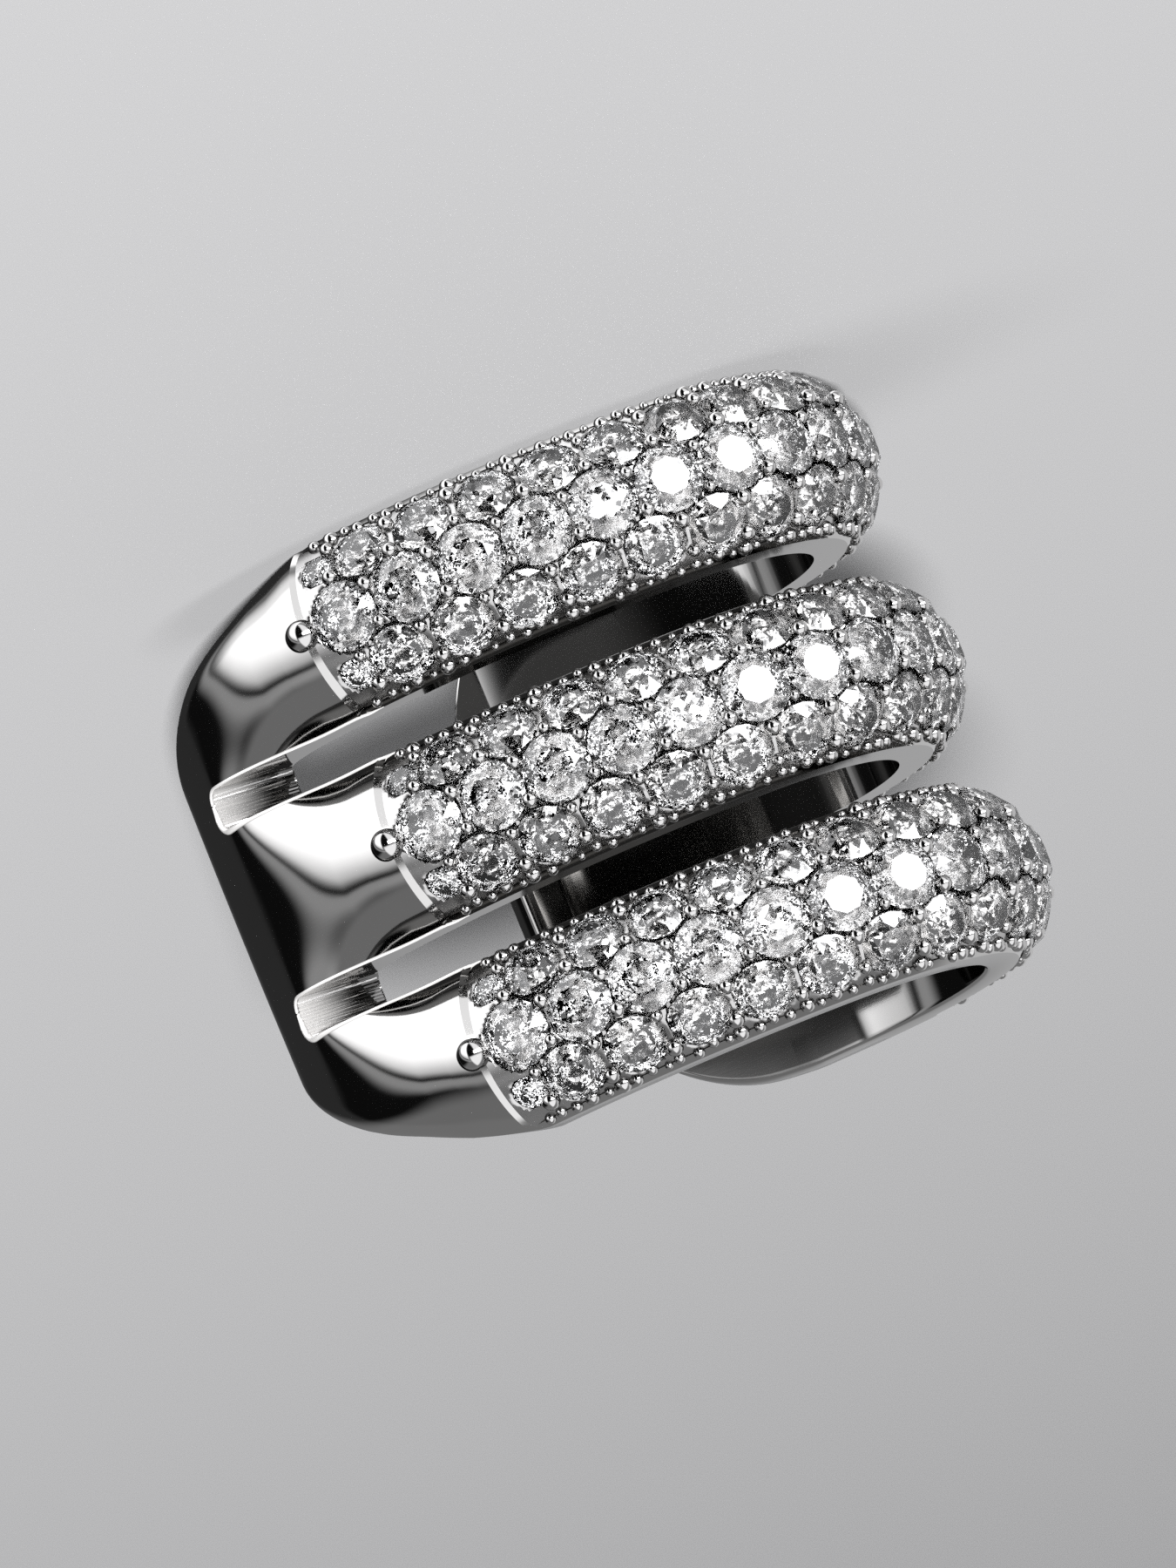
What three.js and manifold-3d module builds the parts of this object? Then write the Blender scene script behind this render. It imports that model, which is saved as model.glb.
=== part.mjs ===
// Three-rail ear cuff in polished white gold with pave-set fronts.
// Millimetres, +Z up. The cuff lies on its side: the three rails are stacked
// along Z, the set fronts look towards -Y, the round shoulder is at -X and the
// plain end wall at +X. The hollow opens at the back, beside the end wall.

import * as THREE from 'three';
import { mergeVertices } from 'three/addons/utils/BufferGeometryUtils.js';
import Module from 'manifold-3d';

const wasm = await Module();
wasm.setup();

// Plan of the crest line: a bowed front between a round corner and a round
// shoulder. Turns are degrees from the foremost point of the front.
const frontRadius = 12.5;
const cornerRadius = 4.5;
const shoulderRadius = 5.0;
const cornerTurn = 22;         // where the front passes into the corner
const shoulderTurn = 20;       // where it passes into the shoulder
const endTurn = 97;            // where the end wall stops
const backReach = 5.6;         // length of the flat back plate

// Sizes of the metal.
const railCount = 3;
const railWidth = 3.5;
const railGap = 0.9;           // width of the slots between the rails
const frontWall = 1.9;         // crest to bore, front, shoulder and end wall
const backWall = 1.5;          // thickness of the plain back plate
const domeRise = 1.05;         // height of a rail's half-round top
const boreEase = 0.12;         // broken edge round the bore
const plateEdge = 0.7;         // rounded outer edge of the plain plates
const plateCrown = 0.08;       // slight swell of the plain plates across the stack

// End wall and back plate.
const endTaper = 7.6;          // developed length over which the end wall narrows
const endHalf = 3.1;           // half its height at its tip
const endRound = 1.3;          // length of its rounded tip
const backTaper = 4.6;         // the same for the back plate
const backHalf = 5.4;
const backRound = 3.8;
const taperEase = 1.3;         // how softly a plate's taper begins
const roundPower = 2.15;       // squareness of both rounded tips
const tipFlat = 0.15;          // blunts the very tip of a tongue
const tipRound = 0.7;          // length over which a tip's thickness is rounded
const tipLand = 0.3;           // thickness left at the very tip
const innerShare = 0.75;       // most of a narrow tongue's half that its middle part takes

// Slots between the rails.
const slotEndTurn = 55;        // degrees round the corner to a slot's end face
const slotBackReach = 1.3;     // slot's run past the shoulder into the back plate
const slotCorner = 0.3;        // radius in the corners of a slot's end
const slotBeyond = 0.6;        // how far a slot's cut goes past both faces of the wall

// Where the domed rails rise out of the plain plates.
const plainTurn = 52;          // degrees round the corner
const domedTurn = 19;
const backMergeBefore = 1.6;   // before the shoulder's end
const backMergeAfter = 3.2;    // after the shoulder's end

// Pave fields.
const paveTurn = 15.5;         // degrees before the foremost point
const paveBackAngle = 67;      // degrees that the stones run past the shoulder's middle
const settingLip = 0.12;       // bright-cut lip left on each side of a rail
const settingClearance = 0.08; // between a setting and its recess
const settingDrop = 0.1;       // setting's face below the dome
const settingDepth = 0.62;     // setting's underside below the crest, at the middle
const settingSideDepth = 1.1;  // and at its two sides

// Stones.
const mainStone = 1.35;        // diameter, middle row
const flankStone = 1.18;       // diameter, flank rows
const endStone = 0.68;         // diameter, the small ones at the ends of the flank rows
const stoneGap = 0.08;         // between neighbours in the middle row
const flankAngle = 34.5;       // degrees that a flank row leans over
const girdleDrop = 0.135;      // girdle plane below the dome
const crownHeight = 0.17;
const stoneRoot = 0.25;        // part of a stone that stands in the setting
const tableShare = 0.58;
const rootShare = 0.6;
const stoneSides = 8;

// Bead at the head of each pave field.
const beadDiameter = 0.64;
const beadAhead = 0.2;         // bead's centre before the first stones
const beadSink = 0.16;         // bead's centre below the crest

// Fineness of the surfaces.
const smallestEdge = 0.006;
const domeSteps = 6;
const settingSteps = 4;        // across a setting
const tipRoundSteps = 7;
const tongueSteps = 18;
const shoulderSteps = 22;
const backSteps = 8;
const paveFrontSteps = 5;      // along the part of a pave field on the front
const paveSteps = 12;          // and on the shoulder
const frontSteps = 12;
const slotEndSteps = 3;        // round each corner of a slot's end
const beadSides = 12;
const beadRings = 8;
const closestSections = 0.02;

// Sizes that follow from the ones above.
const stackHeight = railCount * railWidth + (railCount - 1) * railGap;
const stackHalf = stackHeight / 2;
const railPitch = railWidth + railGap;
const railHalf = railWidth / 2;
const domeRadius = (railHalf ** 2 + domeRise ** 2) / (2 * domeRise);
const stonesProud = crownHeight - girdleDrop;

const { degToRad } = THREE.MathUtils;
const frontStart = cornerRadius * degToRad(endTurn - cornerTurn);
const foremost = frontStart + frontRadius * degToRad(cornerTurn);
const shoulderStart = foremost + frontRadius * degToRad(shoulderTurn);
const backStart = shoulderStart + shoulderRadius * degToRad(180 - shoulderTurn);
const wholeRun = backStart + backReach;

const paveStart = foremost - frontRadius * degToRad(paveTurn);
const paveEnd = shoulderStart + shoulderRadius * degToRad(90 - shoulderTurn + paveBackAngle);

// Run from the end wall's tip to a turn of the corner.
function cornerRun(degrees) {
  return cornerRadius * degToRad(endTurn - degrees);
}

// Outward normal of the crest line where it has turned by an angle.
function outwardAt(turn) {
  return new THREE.Vector2(-Math.sin(turn), -Math.cos(turn));
}

// The three arcs' centres, from the foremost point. The smaller arcs touch the
// front's arc from inside.
const frontCentre = new THREE.Vector2(0, frontRadius);
const cornerCentre = frontCentre.clone()
  .addScaledVector(outwardAt(-degToRad(cornerTurn)), frontRadius - cornerRadius);
const shoulderCentre = frontCentre.clone()
  .addScaledVector(outwardAt(degToRad(shoulderTurn)), frontRadius - shoulderRadius);

// What puts the middle of the cuff on the origin. The stones stand proud of the
// front and of the shoulder.
const shiftX = -(cornerCentre.x + cornerRadius + shoulderCentre.x - shoulderRadius - stonesProud) / 2;
const shiftY = -(shoulderCentre.y + shoulderRadius - stonesProud) / 2;

// A point and outward normal on the crest line, at a run from the end wall's tip.
function crestAt(run) {
  let centre = shoulderCentre;
  let radius = shoulderRadius;
  let turn = degToRad(shoulderTurn) + (Math.min(run, backStart) - shoulderStart) / shoulderRadius;
  if (run < frontStart) {
    centre = cornerCentre;
    radius = cornerRadius;
    turn = run / cornerRadius - degToRad(endTurn);
  } else if (run < shoulderStart) {
    centre = frontCentre;
    radius = frontRadius;
    turn = (run - foremost) / frontRadius;
  }
  const out = outwardAt(turn);
  return {
    x: centre.x + radius * out.x + Math.max(0, run - backStart) + shiftX,
    y: centre.y + radius * out.y + shiftY,
    outX: out.x,
    outY: out.y,
  };
}

// A point in the cuff's frame from its run, its depth under the crest and its
// offset from the middle of the stack.
function pointAt(run, depth, offset) {
  const crest = crestAt(run);
  return new THREE.Vector3(
    crest.x - depth * crest.outX,
    crest.y - depth * crest.outY,
    stackHalf + offset,
  );
}

function railMiddle(rail) {
  return (rail - (railCount - 1) / 2) * railPitch;
}

function smooth(from, to, value) {
  return THREE.MathUtils.smoothstep(value, from, to);
}

// Half the height of the stack, which narrows to a rounded tip at both ends.
function halfHeightAt(run) {
  const narrowed = (distance, taper, tipHalf, round) => {
    const widening = 1 - Math.max(0, 1 - distance / taper) ** taperEase;
    const share = Math.max(0, (round - distance) / (round + tipFlat));
    const rounding = (1 - share ** roundPower) ** (1 / roundPower);
    return THREE.MathUtils.lerp(tipHalf, stackHalf, widening) * rounding;
  };
  return Math.min(
    narrowed(run, endTaper, endHalf, endRound),
    narrowed(wholeRun - run, backTaper, backHalf, backRound),
  );
}

// 1 where the outside is a plain plate, 0 where it is three full domes.
function plateShareAt(run) {
  const domedRun = foremost - frontRadius * degToRad(domedTurn);
  const front = 1 - smooth(cornerRun(plainTurn), domedRun, run);
  const back = smooth(backStart - backMergeBefore, backStart + backMergeAfter, run);
  return Math.max(front, back);
}

function wallAt(run) {
  const thinning = smooth(backStart - backMergeBefore, backStart + backMergeAfter, run);
  return THREE.MathUtils.lerp(frontWall, backWall, thinning);
}

// How far both faces draw together at a rounded tip.
function tipDrawAt(run) {
  const distance = Math.min(run, wholeRun - run);
  const share = THREE.MathUtils.clamp((tipRound - distance) / tipRound, 0, 1);
  return (wallAt(run) - tipLand) / 2 * (1 - Math.sqrt(1 - share ** 2));
}

function domeDepth(offsetInRail, drop = 0) {
  const radius = domeRadius - drop;
  return domeRadius - Math.sqrt(Math.max(0, radius ** 2 - offsetInRail ** 2));
}

function plateDepth(offset, half, edge) {
  const inside = THREE.MathUtils.clamp(edge - half + Math.abs(offset), 0, edge);
  const crown = plateCrown * (offset / stackHalf) ** 2;
  return crown + edge - Math.sqrt(edge ** 2 - inside ** 2);
}

// Moves an offset in the full stack to its place where the stack is narrower.
// The slots' edges keep their line for as long as they fit.
function squeeze(offset, half) {
  const keptFull = stackHalf - railWidth;
  const kept = Math.min(keptFull, half * innerShare);
  const size = Math.abs(offset);
  const moved = size <= keptFull
    ? size * kept / keptFull
    : kept + (size - keptFull) * (half - kept) / (stackHalf - keptFull);
  return Math.sign(offset) * moved;
}

// One section of the frame, as points of depth and offset in one loop.
function frameSection(run) {
  const half = halfHeightAt(run);
  const plateShare = plateShareAt(run);
  const draw = tipDrawAt(run);
  const bore = wallAt(run) - draw;
  const edge = Math.min(plateEdge, (bore - draw) / 2);
  const ease = Math.min(boreEase, (bore - draw) / 4);
  const section = [];
  for (let rail = 0; rail < railCount; rail += 1) {
    for (let step = 0; step <= domeSteps; step += 1) {
      const inRail = -railHalf + railWidth * step / domeSteps;
      const offset = squeeze(railMiddle(rail) + inRail, half);
      const domed = domeDepth(inRail);
      const plain = plateDepth(offset, half, edge);
      section.push([THREE.MathUtils.lerp(domed, plain, plateShare) + draw, offset]);
    }
  }
  section.push([bore - ease, half]);
  section.push([bore, half - ease]);
  section.push([bore, -(half - ease)]);
  section.push([bore - ease, -half]);
  return section;
}

// The triangles that close a section, each in the order of the section's loop.
function capTriangles(section) {
  const outline = section.map(([depth, offset]) => new THREE.Vector2(depth, offset));
  return THREE.ShapeUtils.triangulateShape(outline, [])
    .map((corners) => [...corners].sort((a, b) => a - b));
}

// The same for a convex section, as a fan round a point that is added in its middle.
function addFanCap(section, run, firstCorner, turned, positions, triangles) {
  const count = section.length;
  const mean = (axis) => section.reduce((sum, point) => sum + point[axis], 0) / count;
  const centre = positions.length / 3;
  positions.push(...pointAt(run, mean(0), mean(1)).toArray());
  for (let corner = 0; corner < count; corner += 1) {
    const from = firstCorner + corner;
    const to = firstCorner + (corner + 1) % count;
    triangles.push(centre, turned ? to : from, turned ? from : to);
  }
}

// A closed mesh through sections that hold the same number of points.
function loft(runs, sectionOf, convexEnds = false) {
  const positions = [];
  const triangles = [];
  const sections = runs.map(sectionOf);
  const count = sections[0].length;
  sections.forEach((section, station) => {
    for (const [depth, offset] of section) {
      positions.push(...pointAt(runs[station], depth, offset).toArray());
    }
  });
  for (let station = 0; station < runs.length - 1; station += 1) {
    for (let point = 0; point < count; point += 1) {
      const next = (point + 1) % count;
      const a = station * count + point;
      const b = station * count + next;
      const c = (station + 1) * count + next;
      const d = (station + 1) * count + point;
      triangles.push(a, b, c, a, c, d);
    }
  }
  const addCap = (station, turned) => {
    if (convexEnds) {
      addFanCap(sections[station], runs[station], station * count, turned, positions, triangles);
      return;
    }
    for (const corners of capTriangles(sections[station])) {
      const ordered = turned ? [...corners].reverse() : corners;
      triangles.push(...ordered.map((corner) => station * count + corner));
    }
  };
  addCap(0, true);
  addCap(runs.length - 1, false);
  const geometry = new THREE.BufferGeometry();
  geometry.setAttribute('position', new THREE.Float32BufferAttribute(positions, 3));
  geometry.setIndex(triangles);
  return geometry;
}

function signedVolume(vertices, triangles) {
  const corner = (index) => new THREE.Vector3().fromArray(vertices, 3 * index);
  let volume = 0;
  for (let face = 0; face < triangles.length; face += 3) {
    const [a, b, c] = [0, 1, 2].map((step) => corner(triangles[face + step]));
    volume += a.dot(b.cross(c)) / 6;
  }
  return volume;
}

// A lathe leaves flat triangles where its profile meets the axis.
function wholeTriangles(indices) {
  const kept = [];
  for (let face = 0; face < indices.length; face += 3) {
    const [a, b, c] = indices.slice(face, face + 3);
    if (a !== b && b !== c && c !== a) {
      kept.push(a, b, c);
    }
  }
  return kept;
}

// A geometry as a solid that can be joined and cut.
function solidOf(geometry) {
  const bare = geometry.clone();
  bare.deleteAttribute('normal');
  bare.deleteAttribute('uv');
  const merged = mergeVertices(bare, 1e-5);
  const vertices = new Float32Array(merged.attributes.position.array);
  const triangles = new Uint32Array(wholeTriangles([...merged.index.array]));
  if (signedVolume(vertices, triangles) < 0) {
    for (let face = 0; face < triangles.length; face += 3) {
      [triangles[face + 1], triangles[face + 2]] = [triangles[face + 2], triangles[face + 1]];
    }
  }
  const mesh = new wasm.Mesh({ numProp: 3, vertProperties: vertices, triVerts: triangles });
  return new wasm.Manifold(mesh);
}

// The mesh of a joined and cut solid. Corners that the cuts left closer
// together than the smallest edge become one.
function geometryOf(solid) {
  const mesh = solid.getMesh();
  const vertices = mesh.vertProperties;
  const triangles = [...mesh.triVerts];
  const corner = (index) => new THREE.Vector3().fromArray(vertices, 3 * index);
  const kept = Array.from({ length: vertices.length / 3 }, (_, index) => index);
  const rootOf = (index) => (kept[index] === index ? index : rootOf(kept[index]));
  for (let face = 0; face < triangles.length; face += 3) {
    for (let side = 0; side < 3; side += 1) {
      const from = rootOf(triangles[face + side]);
      const to = rootOf(triangles[face + (side + 1) % 3]);
      if (from !== to && corner(from).distanceTo(corner(to)) < smallestEdge) {
        kept[Math.max(from, to)] = Math.min(from, to);
      }
    }
  }
  const geometry = new THREE.BufferGeometry();
  geometry.setAttribute('position', new THREE.BufferAttribute(vertices, 3));
  geometry.setIndex(wholeTriangles(triangles.map(rootOf)));
  return geometry;
}

function evenSteps(from, to, steps) {
  return Array.from({ length: steps + 1 }, (_, step) => from + (to - from) * step / steps);
}

// Steps that crowd together towards the tip, where a tongue's outline turns.
function tipSteps(length, steps) {
  return evenSteps(0, Math.PI / 2, steps).map((angle) => length * (1 - Math.cos(angle)));
}

function uniqueRuns(runs) {
  const sorted = [...runs].sort((a, b) => a - b);
  return sorted.filter((run, index) => index === 0 || run - sorted[index - 1] > closestSections);
}

function plainFrame() {
  const runs = uniqueRuns([
    ...tipSteps(endRound, tipRoundSteps),
    ...evenSteps(endRound, foremost, tongueSteps),
    ...evenSteps(foremost, shoulderStart, frontSteps / 2),
    ...evenSteps(shoulderStart, backStart, shoulderSteps),
    ...evenSteps(backStart, wholeRun - backTaper, 2),
    ...tipSteps(backTaper, backSteps).map((distance) => wholeRun - distance),
  ]);
  return solidOf(loft(runs, frameSection, true));
}

// A slot's cutter follows the crest line through the whole wall, with rounded
// corners at both ends.
function slotCutter(middle) {
  const start = cornerRun(slotEndTurn);
  const end = backStart + slotBackReach;
  const cornerSteps = evenSteps(0, Math.PI / 2, slotEndSteps)
    .map((angle) => slotCorner * (1 - Math.cos(angle)));
  const runs = uniqueRuns([
    ...cornerSteps.map((distance) => start + distance),
    ...evenSteps(start + slotCorner, foremost, frontSteps),
    ...evenSteps(foremost, shoulderStart, frontSteps / 2),
    ...evenSteps(shoulderStart, backStart, shoulderSteps),
    ...cornerSteps.map((distance) => end - distance),
  ]);
  return solidOf(loft(runs, (run) => {
    const inCorner = Math.max(0, slotCorner - Math.min(run - start, end - run));
    const half = railGap / 2 - slotCorner + Math.sqrt(slotCorner ** 2 - inCorner ** 2);
    const [above, below] = [-slotBeyond, frontWall + slotBeyond];
    return [[above, middle - half], [above, middle + half], [below, middle + half], [below, middle - half]];
  }, true));
}

function paveRuns(inset) {
  return [
    ...evenSteps(paveStart + inset, shoulderStart, paveFrontSteps).slice(0, -1),
    ...evenSteps(shoulderStart, paveEnd - inset, paveSteps),
  ];
}

// The underside of a setting, or the floor of its recess: a shallow arc.
function settingFloor(half, extraDepth) {
  const sag = settingSideDepth - settingDepth;
  const radius = (half ** 2 + sag ** 2) / (2 * sag);
  return evenSteps(half, -half, settingSteps).map((offset) => [
    settingDepth + extraDepth + radius - Math.sqrt(radius ** 2 - offset ** 2),
    offset,
  ]);
}

function recessCutter(rail) {
  const half = railHalf - settingLip;
  const above = -domeRise;
  const middle = railMiddle(rail);
  const section = [[above, -half], [above, half], ...settingFloor(half, settingClearance)]
    .map(([depth, offset]) => [depth, middle + offset]);
  return solidOf(loft(paveRuns(0), () => section));
}

function settingSkin(rail) {
  const half = railHalf - settingLip - settingClearance;
  const middle = railMiddle(rail);
  const face = evenSteps(-half, half, settingSteps)
    .map((offset) => [domeDepth(offset, settingDrop), offset]);
  const section = [...face, ...settingFloor(half, 0)]
    .map(([depth, offset]) => [depth, middle + offset]);
  return solidOf(loft(paveRuns(settingClearance), () => section));
}

// A cut stone on the Z axis, its girdle at Z = 0: table, crown facets, girdle
// and the short root that stands in the setting.
function stoneGeometry(diameter) {
  const radius = diameter / 2;
  const profile = [
    new THREE.Vector2(0, -stoneRoot),
    new THREE.Vector2(radius * rootShare, -stoneRoot),
    new THREE.Vector2(radius, 0),
    new THREE.Vector2(radius * tableShare, crownHeight),
    new THREE.Vector2(0, crownHeight),
  ];
  const stone = new THREE.LatheGeometry(profile, stoneSides);
  stone.rotateX(Math.PI / 2);
  return stone;
}

function stoneSolid(diameter, run, rail, leanDegrees) {
  const lean = degToRad(leanDegrees);
  const crest = crestAt(run);
  const seatRadius = domeRadius - girdleDrop;
  const depth = domeRadius - seatRadius * Math.cos(lean);
  const offset = railMiddle(rail) + seatRadius * Math.sin(lean);
  const out = new THREE.Vector3(crest.outX, crest.outY, 0);
  const up = out.clone().multiplyScalar(Math.cos(lean)).setZ(Math.sin(lean));
  const along = new THREE.Vector3(-crest.outY, crest.outX, 0);
  const across = up.clone().cross(along);
  const seat = new THREE.Matrix4().makeBasis(along, across, up);
  seat.setPosition(pointAt(run, depth, offset));
  return solidOf(stoneGeometry(diameter).applyMatrix4(seat));
}

// A middle row and two flank rows that are shifted by half a pitch, each flank
// row with a small stone at both ends.
function paveField(rail) {
  const start = paveStart + settingClearance;
  const end = paveEnd - settingClearance;
  const count = Math.round((end - start) / (mainStone + stoneGap));
  const pitch = (end - start) / count;
  const endInset = (endStone + stoneGap) / 2;
  let field = settingSkin(rail);
  for (let stone = 0; stone < count; stone += 1) {
    field = field.add(stoneSolid(mainStone, start + (stone + 0.5) * pitch, rail, 0));
  }
  for (const lean of [-flankAngle, flankAngle]) {
    field = field.add(stoneSolid(endStone, start + endInset, rail, lean));
    field = field.add(stoneSolid(endStone, end - endInset, rail, lean));
    for (let stone = 1; stone < count; stone += 1) {
      field = field.add(stoneSolid(flankStone, start + stone * pitch, rail, lean));
    }
  }
  return field;
}

function headBead(rail) {
  const bead = new THREE.SphereGeometry(beadDiameter / 2, beadSides, beadRings);
  const centre = pointAt(paveStart - beadAhead, beadSink, railMiddle(rail));
  bead.translate(centre.x, centre.y, centre.z);
  return solidOf(bead);
}

function cuffFrame() {
  let frame = plainFrame();
  for (let gap = 0; gap < railCount - 1; gap += 1) {
    frame = frame.subtract(slotCutter(railMiddle(gap) + railPitch / 2));
  }
  for (let rail = 0; rail < railCount; rail += 1) {
    frame = frame.subtract(recessCutter(rail));
    frame = frame.add(headBead(rail));
  }
  return frame;
}

const whiteGold = new THREE.MeshStandardMaterial({ color: 0xd8d7d5, roughness: 0.12, metalness: 1 });
const setStones = new THREE.MeshStandardMaterial({ color: 0xe8edf2, roughness: 0.05, metalness: 0.2 });

function namedMesh(name, solid, material) {
  const mesh = new THREE.Mesh(geometryOf(solid), material);
  mesh.name = name;
  return mesh;
}

const cuff = new THREE.Group();
cuff.add(namedMesh('cuff_frame', cuffFrame(), whiteGold));
for (let rail = 0; rail < railCount; rail += 1) {
  cuff.add(namedMesh(`pave_field_${rail + 1}`, paveField(rail), setStones));
}

export default cuff;
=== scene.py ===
# Three-rail ear cuff in polished white gold with pave-set fronts.
# The cuff lies on its side: rails stacked along Z, set fronts towards -Y,
# round shoulder at -X, plain end wall at +X.
import math

import bmesh
import bpy
import numpy as np
from mathutils import Matrix, Vector
from mathutils.bvhtree import BVHTree


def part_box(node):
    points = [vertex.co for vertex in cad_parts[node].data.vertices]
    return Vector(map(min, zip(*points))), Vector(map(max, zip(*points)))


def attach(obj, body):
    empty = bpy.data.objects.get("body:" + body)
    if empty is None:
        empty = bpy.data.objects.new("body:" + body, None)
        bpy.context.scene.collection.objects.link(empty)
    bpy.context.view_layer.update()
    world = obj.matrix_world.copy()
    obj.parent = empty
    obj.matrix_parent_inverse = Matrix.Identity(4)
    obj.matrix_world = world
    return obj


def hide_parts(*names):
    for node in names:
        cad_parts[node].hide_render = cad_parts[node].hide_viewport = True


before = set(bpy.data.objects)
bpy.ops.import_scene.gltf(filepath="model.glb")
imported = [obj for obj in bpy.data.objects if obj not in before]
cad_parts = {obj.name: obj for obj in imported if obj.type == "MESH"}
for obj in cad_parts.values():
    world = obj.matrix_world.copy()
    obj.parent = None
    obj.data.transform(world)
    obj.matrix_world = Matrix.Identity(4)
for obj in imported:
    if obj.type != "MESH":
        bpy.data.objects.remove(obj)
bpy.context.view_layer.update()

MM = 0.001

# Plan of the crest line: a bowed front between a round corner and a round shoulder.
FRONT_RADIUS = 12.5 * MM
CORNER_RADIUS = 4.5 * MM
SHOULDER_RADIUS = 5.0 * MM
CORNER_TURN = math.radians(22)
SHOULDER_TURN = math.radians(20)
END_TURN = math.radians(97)
BACK_REACH = 5.6 * MM

# Sizes of the metal.
RAIL_COUNT = 3
RAIL_WIDTH = 3.5 * MM
RAIL_GAP = 0.9 * MM
FRONT_WALL = 1.9 * MM
BACK_WALL = 1.5 * MM
DOME_RISE = 1.05 * MM
BORE_EASE = 0.12 * MM
PLATE_EDGE = 0.7 * MM
PLATE_CROWN = 0.08 * MM

# End wall and back plate.
END_TAPER = 7.6 * MM
END_HALF = 3.1 * MM
END_ROUND = 1.3 * MM
BACK_TAPER = 4.6 * MM
BACK_HALF = 5.4 * MM
BACK_ROUND = 3.8 * MM
TAPER_EASE = 1.3
ROUND_POWER = 2.15
TIP_FLAT = 0.15 * MM
TIP_ROUND = 0.7 * MM
TIP_LAND = 0.3 * MM
INNER_SHARE = 0.75

# Slots between the rails.
SLOT_END_TURN = math.radians(55)
SLOT_BACK_REACH = 1.3 * MM
SLOT_CORNER = 0.3 * MM
SLOT_BEYOND = 0.6 * MM
RIM_RADIUS = 0.032 * MM
RIM_REACH = 0.4 * MM
RIM_SWELLING = 1.0
RIM_SWELLING_REACH = 1.4 * MM
RIM_THINNEST = 0.25
RIM_SPACING = 0.02 * MM
FILE_MARKS = 26
FILE_MARK_DEPTH = 0.035 * MM
FILED_INSET = 0.02 * MM
FILED_PROUD = 0.008 * MM
FILED_ROOT = 0.06 * MM
FILED_STOP = 0.04 * MM

# Where the domed rails rise out of the plain plates.
PLAIN_TURN = math.radians(52)
DOMED_TURN = math.radians(19)
BACK_MERGE_BEFORE = 1.6 * MM
BACK_MERGE_AFTER = 3.2 * MM

# Pave fields.
PAVE_TURN = math.radians(15.5)
PAVE_BACK_ANGLE = math.radians(67)
SETTING_LIP = 0.12 * MM
SETTING_CLEARANCE = 0.08 * MM
SETTING_OVERLAP = 0.03 * MM
SETTING_DROP = 0.10 * MM
SETTING_DEPTH = 0.62 * MM
SETTING_SIDE_DEPTH = 1.1 * MM
BRIGHT_CUT = 0.14 * MM
SKIN_THICKNESS = 0.03 * MM
SKIN_RUNS = 270
SKIN_COLUMNS = 50
STATION_SPACING = 0.012 * MM

# Stones and the metal beads that hold them.
MAIN_STONE = 1.38 * MM
FLANK_STONE = 1.25 * MM
END_STONE = 0.70 * MM
STONE_GAP = 0.05 * MM
FLANK_LEAN = math.radians(36)
GIRDLE_DROP = 0.135 * MM
BEAD_DIAMETER = 0.66 * MM
BEAD_AHEAD = 0.2 * MM
BEAD_SINK = 0.12 * MM
BEAD_JITTER = 0.06 * MM
BEAD_SIZE_PLAY = 0.22
STONE_TILT = 0.05
STONE_TURN = 3.1

# Small beads by their arc from the crest, their diameter and the depth of their
# middle: first those between two stones of the middle row, then those between
# two stones of a flank row. The last of both, and all that are placed by
# EDGE_SHARES of the pitch, stand on the rail's edge.
BEADS_BETWEEN_MAINS = [
    (0.39 * MM, 0.30 * MM, 0.06 * MM),
    (1.84 * MM, 0.28 * MM, 0.10 * MM),
]
BEADS_BETWEEN_FLANKS = [
    (0.80 * MM, 0.31 * MM, 0.06 * MM),
    (1.50 * MM, 0.32 * MM, 0.07 * MM),
    (1.88 * MM, 0.31 * MM, 0.11 * MM),
]
EDGE_BEAD = (1.92 * MM, 0.22 * MM, 0.09 * MM)
EDGE_SHARES = (0.25, 0.75)

# Shape of a cut stone, as shares of its diameter, and of its crown and pavilion.
TABLE_SHARE = 0.56
CROWN_SHARE = 0.15
GIRDLE_SHARE = 0.025
PAVILION_SHARE = 0.41
STAR_REACH = 1.02
STAR_HEIGHT = 0.53
LOWER_REACH = 0.28
LOWER_DEPTH = 0.74

# Seat of a stone: how far its edge, ledge and cone go beyond the stone.
SEAT_EDGE = 1.02
SEAT_LEDGE = 0.06
SEAT_LEDGE_DROP = 0.03 * MM
SEAT_CONE = 1.05
SEAT_LIMIT = SETTING_DEPTH + 0.05 * MM

# Finishes: clouds and wheel marks in the polish, and the flats of the stones with their painted dark
# sparkle.
CLOUD_SCALE = 420
WHEEL_SCALE = (3000, 3000, 30000)
MARK_HEIGHT = 0.002 * MM
FILED_METALLIC = 0.72
FILED_START = 0.3
RIM_METALLIC = 0.65
POLISHED_ROUGHNESS = 0.06
STONE_IOR = 2.42
FLAT_SIZE = 0.12 * MM
FLAT_LEAN = 0.10
# Painted sparkle: black and grey are painted into some flats of a stone in place of its dark
# reflections, and the bright flats stay clear.
PAINTED_DARK_FLAT = (0.01, 0.01, 0.012, 1)
BRIGHT_FLAT = (1.0, 1.0, 1.0, 1)
PAINTED_GREY_FLATS = ((0.32, 0.12), (0.48, 0.90))

# Camera: the photo's angle to the cuff, and the width of the picture at the cuff.
CAMERA_AZIMUTH = -8
CAMERA_ELEVATION = 8.75
CAMERA_ROLL = 157.6
CAMERA_DISTANCE = 300 * MM
CAMERA_CLIP = (0.01, 20)
PICTURE_WIDTH = 22.9 * MM
SENSOR_WIDTH = 36

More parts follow.
